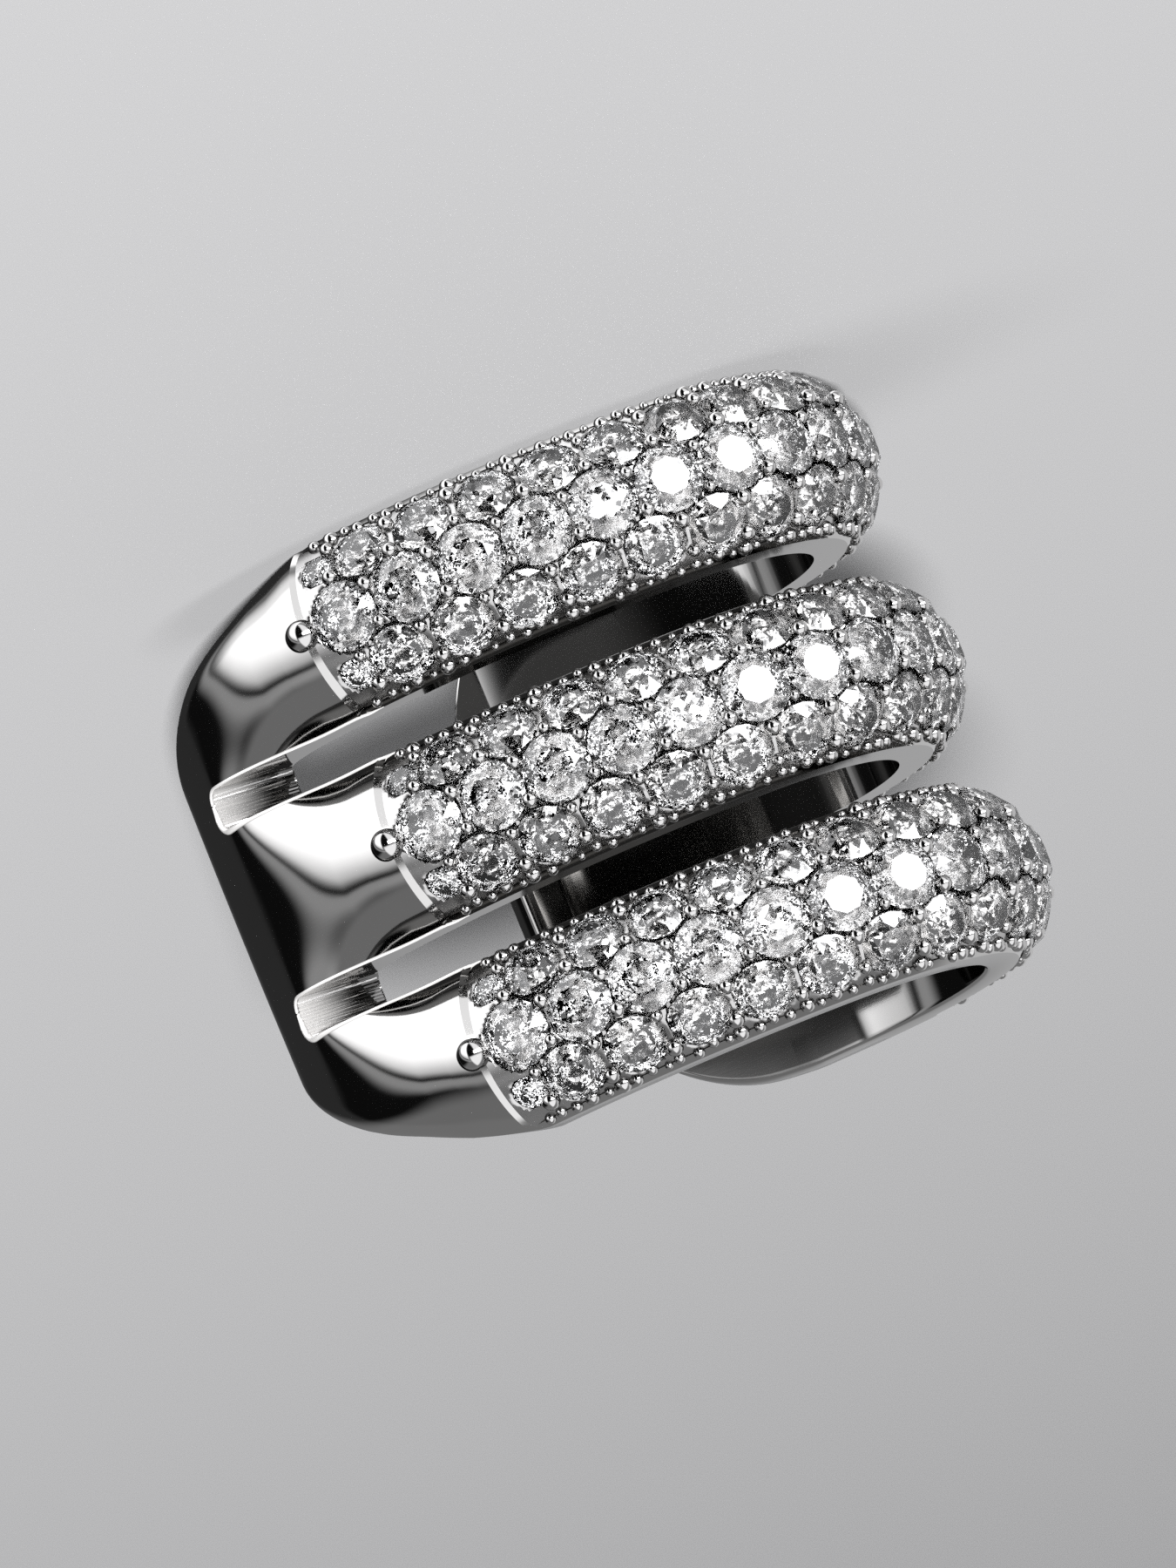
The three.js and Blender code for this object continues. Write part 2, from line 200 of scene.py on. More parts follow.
# Lamps for the floor and the satin metal, which nothing mirrors: azimuth,
# elevation, distance, size and power.
KEY_LAMP = (-8, 11.5, 1.5, 0.10, 74)
FILL_LAMP = (40, 70, 0.6, 0.30, 0.45)
FLOOR_HALF = 3.0
FLOOR_COLOUR = (0.80, 0.80, 0.81)

# Sizes that follow from the ones above.
STACK_HEIGHT = RAIL_COUNT * RAIL_WIDTH + (RAIL_COUNT - 1) * RAIL_GAP
STACK_HALF = STACK_HEIGHT / 2
RAIL_PITCH = RAIL_WIDTH + RAIL_GAP
RAIL_HALF = RAIL_WIDTH / 2
DOME_RADIUS = (RAIL_HALF ** 2 + DOME_RISE ** 2) / (2 * DOME_RISE)
RAILS = range(RAIL_COUNT)
GAPS = range(RAIL_COUNT - 1)

# Runs along the crest line, from the end wall's tip.
FRONT_START = CORNER_RADIUS * (END_TURN - CORNER_TURN)
FOREMOST = FRONT_START + FRONT_RADIUS * CORNER_TURN
SHOULDER_START = FOREMOST + FRONT_RADIUS * SHOULDER_TURN
BACK_START = SHOULDER_START + SHOULDER_RADIUS * (math.pi - SHOULDER_TURN)
WHOLE_RUN = BACK_START + BACK_REACH
DOMED_RUN = FOREMOST - FRONT_RADIUS * DOMED_TURN
SLOT_START = CORNER_RADIUS * (END_TURN - SLOT_END_TURN)
SLOT_END = BACK_START + SLOT_BACK_REACH
PLAIN_RUN = CORNER_RADIUS * (END_TURN - PLAIN_TURN)
PAVE_START = FOREMOST - FRONT_RADIUS * PAVE_TURN
PAVE_END = SHOULDER_START + SHOULDER_RADIUS * (
    math.pi / 2 - SHOULDER_TURN + PAVE_BACK_ANGLE
)
CAMERA_AIM = Vector((0.05 * MM, -0.6 * MM, STACK_HALF - 0.15 * MM))


def outward_at(turn):
    """Outward normal of the crest line where it has turned from the foremost point."""
    return Vector((-math.sin(turn), -math.cos(turn), 0))


# The arcs' centres, from the foremost point, and what puts the frame in its
# place: its box in the CAD says where its last side and its back are.
FRONT_CENTRE = Vector((0, FRONT_RADIUS, 0))
CORNER_CENTRE = FRONT_CENTRE + outward_at(-CORNER_TURN) * (FRONT_RADIUS - CORNER_RADIUS)
SHOULDER_CENTRE = FRONT_CENTRE + outward_at(SHOULDER_TURN) * (FRONT_RADIUS - SHOULDER_RADIUS)
frame_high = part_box("cuff_frame")[1]
SHIFT = Vector((
    frame_high[0] - CORNER_CENTRE.x - CORNER_RADIUS,
    frame_high[1] - SHOULDER_CENTRE.y - SHOULDER_RADIUS,
    0,
))


def smooth(start, end, value):
    share = min(1.0, max(0.0, (value - start) / (end - start)))
    return share * share * (3 - 2 * share)


def mix(a, b, share):
    return a + (b - a) * share


def crest_at(run):
    """Point and outward normal of the crest line at a run from the end wall's tip."""
    if run < FRONT_START:
        centre, radius, turn = CORNER_CENTRE, CORNER_RADIUS, run / CORNER_RADIUS - END_TURN
    elif run < SHOULDER_START:
        centre, radius, turn = FRONT_CENTRE, FRONT_RADIUS, (run - FOREMOST) / FRONT_RADIUS
    else:
        centre, radius = SHOULDER_CENTRE, SHOULDER_RADIUS
        turn = SHOULDER_TURN + (min(run, BACK_START) - SHOULDER_START) / SHOULDER_RADIUS
    out = outward_at(turn)
    beyond = Vector((max(0.0, run - BACK_START), 0, 0))
    return centre + radius * out + beyond + SHIFT, out


def point_at(run, depth, offset):
    crest, out = crest_at(run)
    return crest - out * depth + Vector((0, 0, STACK_HALF + offset))


def rail_middle(rail):
    return (rail - (RAIL_COUNT - 1) / 2) * RAIL_PITCH


def half_height_at(run):
    """Half the height of the stack, which narrows to a rounded tip at both ends."""
    def narrowed(distance, taper, tip_half, round_length):
        widening = 1 - max(0.0, 1 - distance / taper) ** TAPER_EASE
        share = max(0.0, (round_length - distance) / (round_length + TIP_FLAT))
        rounding = (1 - share ** ROUND_POWER) ** (1 / ROUND_POWER)
        return mix(tip_half, STACK_HALF, widening) * rounding
    return min(
        narrowed(run, END_TAPER, END_HALF, END_ROUND),
        narrowed(WHOLE_RUN - run, BACK_TAPER, BACK_HALF, BACK_ROUND),
    )


def plate_share_at(run):
    """1 where the outside is a plain plate, 0 where it is three full domes."""
    front = 1 - smooth(PLAIN_RUN, DOMED_RUN, run)
    back = smooth(BACK_START - BACK_MERGE_BEFORE, BACK_START + BACK_MERGE_AFTER, run)
    return max(front, back)


def wall_at(run):
    thinning = smooth(BACK_START - BACK_MERGE_BEFORE, BACK_START + BACK_MERGE_AFTER, run)
    return mix(FRONT_WALL, BACK_WALL, thinning)


def tip_draw_at(run):
    distance = min(run, WHOLE_RUN - run)
    share = min(1.0, max(0.0, (TIP_ROUND - distance) / TIP_ROUND))
    return (wall_at(run) - TIP_LAND) / 2 * (1 - math.sqrt(1 - share ** 2))


def dome_depth(offset, drop=0.0):
    radius = DOME_RADIUS - drop
    return DOME_RADIUS - math.sqrt(max(0.0, radius ** 2 - offset ** 2))


def plate_depth(offset, half, edge):
    inside = min(edge, max(0.0, edge - half + abs(offset)))
    crown = PLATE_CROWN * (offset / STACK_HALF) ** 2
    return crown + edge - math.sqrt(edge ** 2 - inside ** 2)


def squeeze(offset, half):
    kept_full = STACK_HALF - RAIL_WIDTH
    kept = min(kept_full, half * INNER_SHARE)
    size = abs(offset)
    if size <= kept_full:
        moved = size * kept / kept_full
    else:
        moved = kept + (size - kept_full) * (half - kept) / (STACK_HALF - kept_full)
    return math.copysign(moved, offset)


def even_steps(start, end, steps):
    return [start + (end - start) * step / steps for step in range(steps + 1)]


def tip_steps(length, steps):
    return [length * (1 - math.cos(angle)) for angle in even_steps(0, math.pi / 2, steps)]


def new_object(name, verts, faces, smooth_angle=None):
    mesh = bpy.data.meshes.new(name)
    mesh.from_pydata([tuple(v) for v in verts], [], faces)
    mesh.update()
    piece = bpy.data.objects.new(name, mesh)
    bpy.context.collection.objects.link(piece)
    shape = bmesh.new()
    shape.from_mesh(mesh)
    bmesh.ops.recalc_face_normals(shape, faces=shape.faces)
    shape.to_mesh(mesh)
    shape.free()
    if smooth_angle is not None:
        shade(piece, smooth_angle)
    return piece


def shade(piece, angle):
    """Smooth shading with sharp edges kept where faces meet at more than the angle."""
    shape = bmesh.new()
    shape.from_mesh(piece.data)
    for face in shape.faces:
        face.smooth = True
    for edge in shape.edges:
        edge.smooth = len(edge.link_faces) != 2 or edge.calc_face_angle(0) < angle
    shape.to_mesh(piece.data)
    shape.free()


def applied(piece):
    """The piece with its modifiers turned into plain mesh."""
    bpy.context.view_layer.update()
    evaluated = piece.evaluated_get(bpy.context.evaluated_depsgraph_get())
    mesh = bpy.data.meshes.new_from_object(evaluated)
    piece.modifiers.clear()
    old = piece.data
    piece.data = mesh
    mesh.name = piece.name
    bpy.data.meshes.remove(old)
    return piece


def cut_or_join(piece, tools, operation):
    for tool in tools:
        change = piece.modifiers.new(operation, "BOOLEAN")
        change.operation = operation
        change.solver = "EXACT"
        change.object = tool
    applied(piece)
    for tool in tools:
        bpy.data.objects.remove(tool)


def loft(name, runs, section_of):
    """A closed mesh through sections of depth and offset, with a flat cap at each end."""
    verts = []
    for run in runs:
        verts += [point_at(run, depth, offset) for depth, offset in section_of(run)]
    count = len(verts) // len(runs)
    faces = []
    for station in range(len(runs) - 1):
        row = station * count
        for corner in range(count):
            after = (corner + 1) % count
            faces.append((row + corner, row + after, row + count + after, row + count + corner))
    faces.append(tuple(range(count)))
    faces.append(tuple(range((len(runs) - 1) * count, len(runs) * count)))
    return new_object(name, verts, faces)


# The metal frame, in the shape of the CAD's but with a fine surface.

def bright_drop_at(run):
    """How far the sloping cuts at both ends of the stones take the dome down."""
    inside = min(run - PAVE_START, PAVE_END - run) + BRIGHT_CUT
    return min(BRIGHT_CUT, max(0.0, inside))


def rail_columns():
    """Offsets across one rail, with a column on the middle of each lip."""
    lip = RAIL_HALF - SETTING_LIP / 2
    inner = even_steps(-lip, lip, 27)
    return [-RAIL_HALF, *inner, RAIL_HALF]


def frame_section(run):
    half = half_height_at(run)
    plate_share = plate_share_at(run)
    draw = tip_draw_at(run)
    drop = bright_drop_at(run)
    bore = wall_at(run) - draw
    edge = min(PLATE_EDGE, (bore - draw) / 2)
    ease = min(BORE_EASE, (bore - draw) / 4)
    section = []
    for rail in RAILS:
        for column in rail_columns():
            offset = squeeze(rail_middle(rail) + column, half)
            domed = dome_depth(column) + drop
            section.append((mix(domed, plate_depth(offset, half, edge), plate_share) + draw, offset))
        if rail < RAIL_COUNT - 1:
            start = rail_middle(rail) + RAIL_HALF
            for column in even_steps(start, start + RAIL_GAP, 6)[1:-1]:
                offset = squeeze(column, half)
                plain = plate_depth(offset, half, edge)
                section.append((mix(DOME_RISE, plain, plate_share) + draw, offset))
    corner = [math.radians(angle) for angle in (0, 30, 60, 90)]
    for angle in corner:
        section.append((bore - ease * (1 - math.sin(angle)), half - ease * (1 - math.cos(angle))))
    for angle in reversed(corner):
        section.append((bore - ease * (1 - math.sin(angle)), -half + ease * (1 - math.cos(angle))))
    return section


def frame_runs():
    runs = tip_steps(END_ROUND, 24)
    runs += even_steps(END_ROUND, PLAIN_RUN, 10)
    runs += even_steps(PLAIN_RUN, DOMED_RUN, 60)
    runs += even_steps(DOMED_RUN, PAVE_START - BRIGHT_CUT, 3)
    runs += even_steps(PAVE_START + BRIGHT_CUT / 8, SHOULDER_START, 30)
    runs += [PAVE_END - BRIGHT_CUT / 8, PAVE_END + BRIGHT_CUT]
    runs += even_steps(SHOULDER_START, BACK_START, 71)
    runs += even_steps(BACK_START, WHOLE_RUN - BACK_TAPER, 8)
    runs += [WHOLE_RUN - step for step in tip_steps(BACK_TAPER, 36)]
    kept = []
    for run in sorted(runs):
        if not kept or run - kept[-1] > STATION_SPACING:
            kept.append(run)
    return kept


def slot_half_at(run):
    """Half a slot's width, with rounded corners at its two ends."""
    in_corner = max(0.0, SLOT_CORNER - min(run - SLOT_START, SLOT_END - run))
    return RAIL_GAP / 2 - SLOT_CORNER + math.sqrt(max(0.0, SLOT_CORNER ** 2 - in_corner ** 2))


def slot_cutter(middle):
    """Follows the crest line through the whole wall."""
    corner = tip_steps(SLOT_CORNER, 8)
    runs = [SLOT_START + step for step in corner] + [SLOT_END - step for step in corner]
    runs += even_steps(SLOT_START + SLOT_CORNER, SHOULDER_START, 60)[1:]
    runs += even_steps(SHOULDER_START, BACK_START, 72)[1:]

    def section(run):
        half = slot_half_at(run)
        below = FRONT_WALL + SLOT_BEYOND
        return [
            (-SLOT_BEYOND, middle - half), (-SLOT_BEYOND, middle + half),
            (below, middle + half), (below, middle - half),
        ]
    return loft("slot_cutter", sorted(runs), section)


def pave_runs():
    front = even_steps(PAVE_START, SHOULDER_START, 30)
    return front + even_steps(SHOULDER_START, PAVE_END, 56)[1:]


def recess_cutter(rail):
    """Cuts the hollow under a field, with a bed that is bowed like the dome."""
    half = RAIL_HALF - SETTING_LIP
    middle = rail_middle(rail)
    sag = SETTING_SIDE_DEPTH - SETTING_DEPTH
    radius = (half ** 2 + sag ** 2) / (2 * sag)
    deepest = SETTING_DEPTH + SETTING_CLEARANCE + radius
    bed = [
        (deepest - math.sqrt(radius ** 2 - offset ** 2), middle + offset)
        for offset in even_steps(half, -half, 12)
    ]
    section = [(-DOME_RISE, middle - half), (-DOME_RISE, middle + half), *bed]
    return loft("recess_cutter", pave_runs(), lambda run: section)


def polished_frame():
    """The frame with its slots and hollows, and the uncut body for finding its surface."""
    piece = loft("polished_frame", frame_runs(), frame_section)
    body = BVHTree.FromObject(piece, bpy.context.evaluated_depsgraph_get())
    for gap in GAPS:
        cut_or_join(piece, [slot_cutter(rail_middle(gap) + RAIL_PITCH / 2)], "DIFFERENCE")
    for rail in RAILS:
        cut_or_join(piece, [recess_cutter(rail)], "DIFFERENCE")
    shade(piece, math.radians(24))
    return piece, body


def tube(name, path, radii, sides=10):
    """A closed tube along an open path, with a radius for each of its points."""
    verts = []
    last = len(path) - 1
    for index, (point, radius) in enumerate(zip(path, radii)):
        along = (path[min(index + 1, last)] - path[max(index - 1, 0)]).normalized()
        side = along.cross(Vector((0, 0, 1)))
        if side.length < 0.05:
            side = along.cross(Vector((0, 1, 0)))
        side.normalize()
        up = side.cross(along)
        for step in range(sides):
            angle = 2 * math.pi * step / sides
            verts.append(point + radius * (math.cos(angle) * side + math.sin(angle) * up))
    faces = [tuple(range(sides)), tuple(last * sides + step for step in range(sides))]
    for row in range(last):
        for step in range(sides):
            turn = (step + 1) % sides
            faces.append((
                row * sides + step, row * sides + turn,
                (row + 1) * sides + turn, (row + 1) * sides + step,
            ))
    return new_object(name, verts, faces, math.radians(60))


def slot_rim(gap, body):
    """The thin bright edge round the plain end of a slot, found on the uncut body."""
    middle = rail_middle(gap) + RAIL_PITCH / 2
    corner = [SLOT_START + SLOT_CORNER * step for step in tip_steps(1.0, 10)]
    straight = even_steps(SLOT_START + SLOT_CORNER, PAVE_START + RIM_REACH, 40)[1:]
    edge = [(run, slot_half_at(run)) for run in corner + straight]
    marks = [(run, -half) for run, half in reversed(edge)] + edge
    path, radii = [], []
    for run, offset in marks:
        crest, out = crest_at(run)
        origin = crest + out * FRONT_WALL + Vector((0, 0, STACK_HALF + middle + offset))
        hit = body.ray_cast(origin, -out)[0]
        if hit is not None and (not path or (hit - path[-1]).length > RIM_SPACING):
            path.append(hit)
            fading = smooth(PAVE_START + RIM_REACH, PAVE_START, run)
            swelling = 0.0
            if offset > 0:
                swelling = RIM_SWELLING * smooth(SLOT_START + RIM_SWELLING_REACH, SLOT_START, run)
            radii.append(RIM_RADIUS * (mix(RIM_THINNEST, 1.0, fading) + swelling))
    return tube(f"slot_rim_{gap + 1}", path, radii)


def filed_end(gap):
    """File marks on a slot's end face: shallow uneven ridges that run through the wall."""
    middle = rail_middle(gap) + RAIL_PITCH / 2
    chance = np.random.default_rng(40 + gap)
    half = RAIL_GAP / 2 - FILED_INSET
    corner_middle = RAIL_GAP / 2 - SLOT_CORNER
    verts = []
    offsets = even_steps(-half, half, FILE_MARKS)
    for index, offset in enumerate(offsets):
        into_corner = max(0.0, abs(offset) - corner_middle)
        face = SLOT_START + SLOT_CORNER - math.sqrt(SLOT_CORNER ** 2 - into_corner ** 2)
        ridge = FILE_MARK_DEPTH * (index % 2) * chance.uniform(0.35, 1.0)
        depths = (chance.uniform(0.03, 0.07) * MM, FRONT_WALL - FILED_STOP)
        for run in (face + FILED_PROUD + ridge, face - FILED_ROOT):
            verts += [point_at(run, depth, middle + offset) for depth in depths]
    faces = [(0, 1, 3, 2), tuple(4 * FILE_MARKS + corner for corner in (0, 1, 3, 2))]
    for row in range(FILE_MARKS):
        a, b = 4 * row, 4 * row + 4
        faces += [(a, a + 1, b + 1, b), (a + 1, a + 3, b + 3, b + 1)]
        faces += [(a + 3, a + 2, b + 2, b + 3), (a + 2, a, b, b + 2)]
    return new_object(f"filed_end_{gap + 1}", verts, faces)


# Stones, settings and beads.

def brilliant_mesh():
    """A round brilliant one unit across, its girdle's top at Z = 0: table, 8 stars,
    8 kites, 16 upper halves, girdle, 16 lower halves and 8 pavilion mains."""
    shape = bmesh.new()

    def ring(count, radius, height, turn=0.0):
        return [
            shape.verts.new((
                radius * math.cos(2 * math.pi * (step + turn) / count),
                radius * math.sin(2 * math.pi * (step + turn) / count),
                height,
            ))
            for step in range(count)
        ]
    table = ring(8, TABLE_SHARE / 2, CROWN_SHARE)
    star_radius = 0.5 * (0.5 + TABLE_SHARE / 2) * STAR_REACH
    stars = ring(8, star_radius, CROWN_SHARE * STAR_HEIGHT, 0.5)
    girdle = ring(16, 0.5, 0.0)
    under = ring(16, 0.5, -GIRDLE_SHARE)
    lower = ring(8, 0.5 * LOWER_REACH, -GIRDLE_SHARE - PAVILION_SHARE * LOWER_DEPTH, 0.5)
    culet = shape.verts.new((0, 0, -GIRDLE_SHARE - PAVILION_SHARE))
    shape.faces.new(table)
    for step in range(8):
        after = (step + 1) % 8
        bend = girdle[2 * step + 1]
        here, there = girdle[2 * step], girdle[(2 * step + 2) % 16]
        shape.faces.new((table[step], stars[step], table[after]))
        shape.faces.new((table[step], stars[step - 1], here, stars[step]))
        shape.faces.new((stars[step], here, bend))
        shape.faces.new((stars[step], bend, there))
        low_here, low_bend = under[2 * step], under[2 * step + 1]
        low_there = under[(2 * step + 2) % 16]
        shape.faces.new((low_here, low_bend, lower[step]))
        shape.faces.new((low_bend, low_there, lower[step]))
        shape.faces.new((low_here, lower[step], culet, lower[step - 1]))
    for step in range(16):
        after = (step + 1) % 16
        shape.faces.new((girdle[step], girdle[after], under[after], under[step]))
    bmesh.ops.recalc_face_normals(shape, faces=shape.faces)
    mesh = bpy.data.meshes.new("brilliant")
    shape.to_mesh(mesh)
    shape.free()
    return mesh


def bead_mesh(name, diameter, around, upwards, centre):
    """A round metal bead. Its centre decides how far it is sunk in the metal."""
    shape = bmesh.new()
    bmesh.ops.create_uvsphere(
        shape, u_segments=around, v_segments=upwards, radius=diameter / 2,
    )
    bmesh.ops.translate(shape, vec=centre, verts=shape.verts)
    mesh = bpy.data.meshes.new(name)
    for face in shape.faces:
        face.smooth = True
    shape.to_mesh(mesh)
    shape.free()
    return mesh


def head_bead(rail):
    """The large bead at a rail's head, in front of its first stone."""
    name = f"head_bead_{rail + 1}"
    centre = point_at(PAVE_START - BEAD_AHEAD, BEAD_SINK, rail_middle(rail))
    piece = bpy.data.objects.new(name, bead_mesh(name, BEAD_DIAMETER, 40, 24, centre))
    bpy.context.collection.objects.link(piece)
    return piece


def seat(rail, run, lean, depth):
    """A place on a rail's dome, its outward direction and its direction along the rail."""
    crest, out = crest_at(run)
    radius = DOME_RADIUS - depth
    offset = rail_middle(rail) + radius * math.sin(lean)
    up = out * math.cos(lean) + Vector((0, 0, math.sin(lean)))
    along = Vector((-out.y, out.x, 0))
    return point_at(run, DOME_RADIUS - radius * math.cos(lean), offset), up, along


def stone_rows():
    """Run, lean and diameter of each stone of a field, from the CAD's rule."""
    start = PAVE_START + SETTING_CLEARANCE
    end = PAVE_END - SETTING_CLEARANCE
    count = round((end - start) / (MAIN_STONE + STONE_GAP))
    pitch = (end - start) / count
    rows = [(start + (stone + 0.5) * pitch, 0.0, MAIN_STONE) for stone in range(count)]
    end_inset = (END_STONE + STONE_GAP) / 2
    for lean in (-FLANK_LEAN, FLANK_LEAN):
        rows += [(start + end_inset, lean, END_STONE), (end - end_inset, lean, END_STONE)]
        rows += [(start + stone * pitch, lean, FLANK_STONE) for stone in range(1, count)]
    return rows, start, end, pitch, count


STONE_ROWS, ROWS_START, ROWS_END, STONE_PITCH, STONE_COUNT = stone_rows()
SEAT_RADIUS = DOME_RADIUS - GIRDLE_DROP


def bead_rows(rail):
    """Run, lean, depth and diameter of each small bead of a rail."""
    chance = np.random.default_rng(70 + rail)
    rows = []

    def add(run, side, beads):
        for arc, size, depth in beads:
            placed_run = run + chance.uniform(-BEAD_JITTER, BEAD_JITTER)
            placed_arc = arc + chance.uniform(-BEAD_JITTER, BEAD_JITTER) / 2
            rows.append((placed_run, side * placed_arc / SEAT_RADIUS, depth, size))
    for side in (-1, 1):
        for stone in range(STONE_COUNT):
            add(ROWS_START + (stone + 0.5) * STONE_PITCH, side, BEADS_BETWEEN_FLANKS)
            for share in EDGE_SHARES:
                add(ROWS_START + (stone + share) * STONE_PITCH, side, [EDGE_BEAD])
            if stone > 0:
                add(ROWS_START + stone * STONE_PITCH, side, BEADS_BETWEEN_MAINS)
    return rows


def seats_object(name, places):
    """A cloud of seats with attributes for direction and size, for Geometry Nodes."""
    mesh = bpy.data.meshes.new(name)
    mesh.from_pydata([tuple(place[0]) for place in places], [], [])
    for column, label in ((1, "up"), (2, "along")):
        values = [part for place in places for part in place[column]]
        mesh.attributes.new(label, "FLOAT_VECTOR", "POINT").data.foreach_set("vector", values)
    sizes = mesh.attributes.new("size", "FLOAT", "POINT")
    sizes.data.foreach_set("value", [place[3] for place in places])
    piece = bpy.data.objects.new(name, mesh)
    bpy.context.collection.objects.link(piece)
    return piece


def setting_tree(name):
    """Puts the pattern object on every seat, turned to its direction and scaled."""
    tree = bpy.data.node_groups.new(name, "GeometryNodeTree")
    face = tree.interface
    face.new_socket("Geometry", in_out="INPUT", socket_type="NodeSocketGeometry")
    face.new_socket("Pattern", in_out="INPUT", socket_type="NodeSocketObject")
    for label in ("Largest turn", "Size play", "Largest tilt"):
        amount = face.new_socket(label, in_out="INPUT", socket_type="NodeSocketFloat")
        amount.default_value = 0.0
    face.new_socket("Material", in_out="INPUT", socket_type="NodeSocketMaterial")
    face.new_socket("Geometry", in_out="OUTPUT", socket_type="NodeSocketGeometry")
    nodes, links = tree.nodes, tree.links

    def node(kind, **settings):
        made = nodes.new(kind)
        for key, value in settings.items():
            setattr(made, key, value)
        return made

    def attribute(label, kind):
        made = node("GeometryNodeInputNamedAttribute", data_type=kind)
        made.inputs["Name"].default_value = label
        return made.outputs["Attribute"]

    entry = node("NodeGroupInput")
    leave = node("NodeGroupOutput")
    pattern = node("GeometryNodeObjectInfo")
    links.new(entry.outputs["Pattern"], pattern.inputs["Object"])
    upright = node("FunctionNodeAlignRotationToVector", axis="Z")
    links.new(attribute("up", "FLOAT_VECTOR"), upright.inputs["Vector"])
    facing = node("FunctionNodeAlignRotationToVector", axis="X", pivot_axis="Z")
    links.new(upright.outputs[0], facing.inputs["Rotation"])
    links.new(attribute("along", "FLOAT_VECTOR"), facing.inputs["Vector"])

    def random_range(seed, socket):
        low = node("ShaderNodeMath", operation="MULTIPLY")
        low.inputs[1].default_value = -1.0
        links.new(socket, low.inputs[0])
        made = node("FunctionNodeRandomValue", data_type="FLOAT")
        links.new(low.outputs[0], made.inputs[2])
        links.new(socket, made.inputs[3])
        made.inputs["Seed"].default_value = seed
        return made.outputs[1]

    angles = node("ShaderNodeCombineXYZ")
    links.new(random_range(3, entry.outputs["Largest tilt"]), angles.inputs[0])
    links.new(random_range(5, entry.outputs["Largest tilt"]), angles.inputs[1])
    links.new(random_range(7, entry.outputs["Largest turn"]), angles.inputs[2])
    own_turn = node("FunctionNodeEulerToRotation")
    links.new(angles.outputs[0], own_turn.inputs[0])
    turned = node("FunctionNodeRotateRotation", rotation_space="LOCAL")
    links.new(facing.outputs[0], turned.inputs[0])
    links.new(own_turn.outputs[0], turned.inputs[1])
    grow = node("ShaderNodeMath", operation="ADD")
    grow.inputs[1].default_value = 1.0
    links.new(random_range(11, entry.outputs["Size play"]), grow.inputs[0])
    scale = node("ShaderNodeMath", operation="MULTIPLY")
    links.new(attribute("size", "FLOAT"), scale.inputs[0])
    links.new(grow.outputs[0], scale.inputs[1])
    placed = node("GeometryNodeInstanceOnPoints")
    links.new(entry.outputs["Geometry"], placed.inputs["Points"])
    links.new(pattern.outputs["Geometry"], placed.inputs["Instance"])
    links.new(turned.outputs[0], placed.inputs["Rotation"])
    links.new(scale.outputs[0], placed.inputs["Scale"])
    realized = node("GeometryNodeRealizeInstances")
    links.new(placed.outputs[0], realized.inputs[0])
    finished = node("GeometryNodeSetMaterial")
    links.new(realized.outputs[0], finished.inputs["Geometry"])
    links.new(entry.outputs["Material"], finished.inputs["Material"])
    links.new(finished.outputs[0], leave.inputs[0])
    return tree


def set_on_seats(name, places, pattern, tree, material, **values):
    """A piece with the pattern on every seat; values go to the tree's named inputs."""
    piece = seats_object(name, places)
    modifier = piece.modifiers.new("Setting", "NODES")
    modifier.node_group = tree
    values = {"Pattern": pattern, "Material": material, **values}
    for item in tree.interface.items_tree:
        if item.in_out == "INPUT" and item.name in values:
            modifier[item.identifier] = values[item.name]
    applied(piece)
    return piece


def setting_skin(rail):
    """The domed metal between the stones, sunk to a conical seat under each of them."""
    half_width = RAIL_HALF - SETTING_LIP + SETTING_OVERLAP
    half_lean = math.asin(half_width / (DOME_RADIUS - SETTING_DROP))
    reach = SETTING_CLEARANCE + SETTING_OVERLAP
    runs = even_steps(ROWS_START - reach, ROWS_END + reach, SKIN_RUNS)
    leans = even_steps(-half_lean, half_lean, SKIN_COLUMNS)
    stones = np.array([(run, lean * SEAT_RADIUS, size / 2) for run, lean, size in STONE_ROWS])
    ledge = GIRDLE_DROP + SEAT_LEDGE_DROP - SETTING_DROP
    verts = []
    for run in runs:
        near = stones[np.abs(stones[:, 0] - run) < MAIN_STONE]
        crest_share = 1.0
        if run > SHOULDER_START:
            crest_share = 1 - GIRDLE_DROP / SHOULDER_RADIUS
        for lean in leans:
            arc = lean * SEAT_RADIUS
            distances = np.hypot((near[:, 0] - run) * crest_share, near[:, 1] - arc) / near[:, 2]
            closest = int(np.argmin(distances))
            inside = max(0.0, SEAT_EDGE - distances[closest])
            cone = 2 * PAVILION_SHARE * near[closest, 2] * inside * SEAT_CONE
            sink = SETTING_DROP + ledge * min(1.0, inside / SEAT_LEDGE) + cone
            verts.append(seat(rail, run, lean, min(sink, SEAT_LIMIT))[0])
    count = len(leans)
    faces = [
        (row * count + i, row * count + i + 1, (row + 1) * count + i + 1, (row + 1) * count + i)
        for row in range(len(runs) - 1)
        for i in range(count - 1)
    ]
    piece = new_object(f"setting_{rail + 1}", verts, faces)
    thick = piece.modifiers.new("Wall", "SOLIDIFY")
    thick.thickness = SKIN_THICKNESS
    thick.offset = -1
    applied(piece)
    shade(piece, math.radians(38))
    return piece


# Finishes.

def material(name, colour):
    """A new material with its nodes, links and main shader."""
    made = bpy.data.materials.new(name)
    made.use_nodes = True
    made.diffuse_color = (*colour, 1)
    nodes = made.node_tree.nodes
    return made, nodes, made.node_tree.links, nodes["Principled BSDF"]


